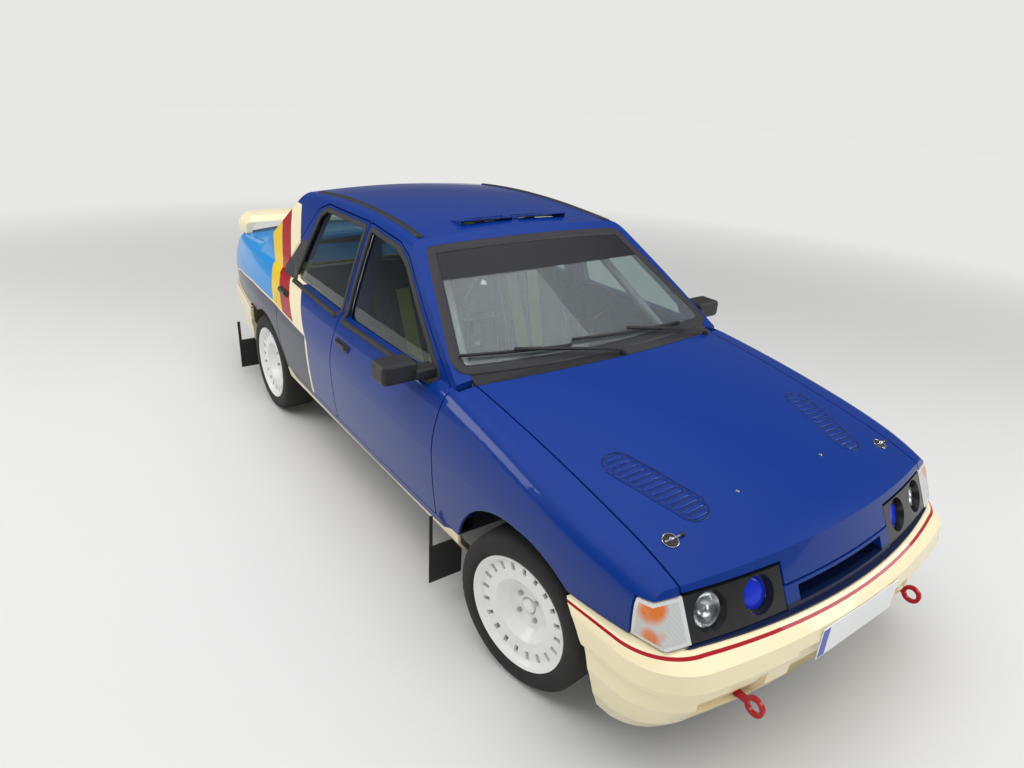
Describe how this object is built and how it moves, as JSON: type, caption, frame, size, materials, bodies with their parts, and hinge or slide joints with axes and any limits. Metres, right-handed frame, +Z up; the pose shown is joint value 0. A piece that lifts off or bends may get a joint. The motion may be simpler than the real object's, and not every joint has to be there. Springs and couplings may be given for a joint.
{
  "type": "rally car",
  "caption": "Four-door saloon rally car with roll cage, bucket seats, roof vent, boot spoiler and steered front wheels; doors, bonnet and boot lid open.",
  "frame": {"origin": "on the ground under the middle of the car's length and width", "axes": "+X forward along the car, +Y to the car's left, +Z up"},
  "size_m": [4.4938, 1.93, 1.4203],
  "materials": {
    "blue_paint": "gloss",
    "cream_paint": "gloss",
    "cabin_paint": "satin",
    "underside": "matt",
    "wheel_white": "gloss",
    "red_paint": "gloss",
    "tyre_rubber": "matt",
    "steel": "satin",
    "iron": "matt",
    "black_plastic": "matt",
    "lamp_body": "gloss",
    "lamp_glass": "clear",
    "red_lens": "gloss",
    "window_glass": "tinted",
    "seat_cloth": "matt",
    "flap_rubber": "matt",
    "wheel_leather": "matt"
  },
  "bodies": {
    "body": {"cowl_panel": "black_plastic", "dashboard": "black_plastic", "drivetrain": "iron", "engine": "iron", "exhaust": "steel", "floor_pan": "underside", "front_bumper": "cream_paint", "front_suspension": "steel", "front_wings": "blue_paint", "headlamp_units": "lamp_body", "lamp_glasses": "lamp_glass", "mud_flaps": "flap_rubber", "nose_panel": "blue_paint", "rear_bumper": "cream_paint", "rear_panel": "blue_paint", "rear_shelf": "blue_paint", "rear_suspension": "steel", "rear_window": "window_glass", "roll_cage": "cabin_paint", "roof_panel": "blue_paint", "seats": "seat_cloth", "side_frame_left": "blue_paint", "side_frame_right": "blue_paint", "sill_skirts": "cream_paint", "tail_lamps": "red_lens", "tow_eyes": "red_paint", "windscreen": "window_glass"},
    "wheel_front_right": {"rim_front_right": "wheel_white", "tyre_front_right": "tyre_rubber"},
    "door_front_right": {"door_front_right": "blue_paint", "window_front_right": "window_glass", "mirror_right": "black_plastic"},
    "wheel_rear_right": {"rim_rear_right": "wheel_white", "tyre_rear_right": "tyre_rubber"},
    "door_rear_right": {"door_rear_right": "blue_paint", "window_rear_right": "window_glass"},
    "knuckle_right": {"knuckle_right": "iron"},
    "wheel_front_left": {"rim_front_left": "wheel_white", "tyre_front_left": "tyre_rubber"},
    "door_front_left": {"door_front_left": "blue_paint", "window_front_left": "window_glass", "mirror_left": "black_plastic"},
    "wheel_rear_left": {"rim_rear_left": "wheel_white", "tyre_rear_left": "tyre_rubber"},
    "door_rear_left": {"door_rear_left": "blue_paint", "window_rear_left": "window_glass"},
    "knuckle_left": {"knuckle_left": "iron"},
    "steering_wheel": {"steering_wheel": "wheel_leather"},
    "bonnet": {"bonnet": "blue_paint"},
    "boot_lid": {"boot_lid": "blue_paint", "rear_spoiler": "cream_paint"}
  },
  "joints": [
    {"name": "steer_left", "type": "hinge", "parent": "body", "child": "knuckle_left", "pos_m": [1.447, 0.672, 0.212], "axis": [-0.0342, -0.1739, 0.9842], "range_deg": [-42.7, 23.3]},
    {"name": "roll_front_left", "type": "hinge", "parent": "knuckle_left", "child": "wheel_front_left", "pos_m": [1.43775, 0.71174, 0.29963], "axis": [-0.1657, 0.9861, -0.0082], "continuous": true},
    {"name": "roll_rear_left", "type": "hinge", "parent": "body", "child": "wheel_rear_left", "pos_m": [-1.161, 0.712, 0.3], "axis": [0, 1, 0], "continuous": true},
    {"name": "steer_right", "type": "hinge", "parent": "body", "child": "knuckle_right", "pos_m": [1.447, -0.672, 0.212], "axis": [-0.0342, 0.1739, 0.9842], "range_deg": [-42.7, 23.3]},
    {"name": "roll_front_right", "type": "hinge", "parent": "knuckle_right", "child": "wheel_front_right", "pos_m": [1.45617, -0.71072, 0.30009], "axis": [-0.1659, 0.9861, -0.0033], "continuous": true},
    {"name": "roll_rear_right", "type": "hinge", "parent": "body", "child": "wheel_rear_right", "pos_m": [-1.161, -0.712, 0.3], "axis": [0, 1, 0], "continuous": true},
    {"name": "door_front_right_hinge", "type": "hinge", "parent": "body", "child": "door_front_right", "pos_m": [0.883, -0.834, 0.6], "axis": [0, 0, 1], "range_deg": [0, 65]},
    {"name": "door_rear_right_hinge", "type": "hinge", "parent": "body", "child": "door_rear_right", "pos_m": [-0.104, -0.837, 0.6], "axis": [0, 0, 1], "range_deg": [0, 65]},
    {"name": "door_front_left_hinge", "type": "hinge", "parent": "body", "child": "door_front_left", "pos_m": [0.883, 0.834, 0.6], "axis": [0, 0, -1], "range_deg": [0, 65]},
    {"name": "door_rear_left_hinge", "type": "hinge", "parent": "body", "child": "door_rear_left", "pos_m": [-0.104, 0.837, 0.6], "axis": [0, 0, -1], "range_deg": [0, 65]},
    {"name": "bonnet_hinge", "type": "hinge", "parent": "body", "child": "bonnet", "pos_m": [0.99, 0, 0.957], "axis": [0, -1, 0], "range_deg": [0, 55]},
    {"name": "boot_hinge", "type": "hinge", "parent": "body", "child": "boot_lid", "pos_m": [-1.53, 0, 0.985], "axis": [0, 1, 0], "range_deg": [0, 80]},
    {"name": "steering_wheel_turn", "type": "hinge", "parent": "body", "child": "steering_wheel", "pos_m": [0.43, 0.338, 0.866], "axis": [-0.9312, 0, 0.3644], "range_deg": [-560, 310]}
  ],
  "couplings": [
    {"joint": "steer_right", "follows": "steer_left", "ratio": 1},
    {"joint": "steering_wheel_turn", "follows": "steer_left", "ratio": 13}
  ]
}
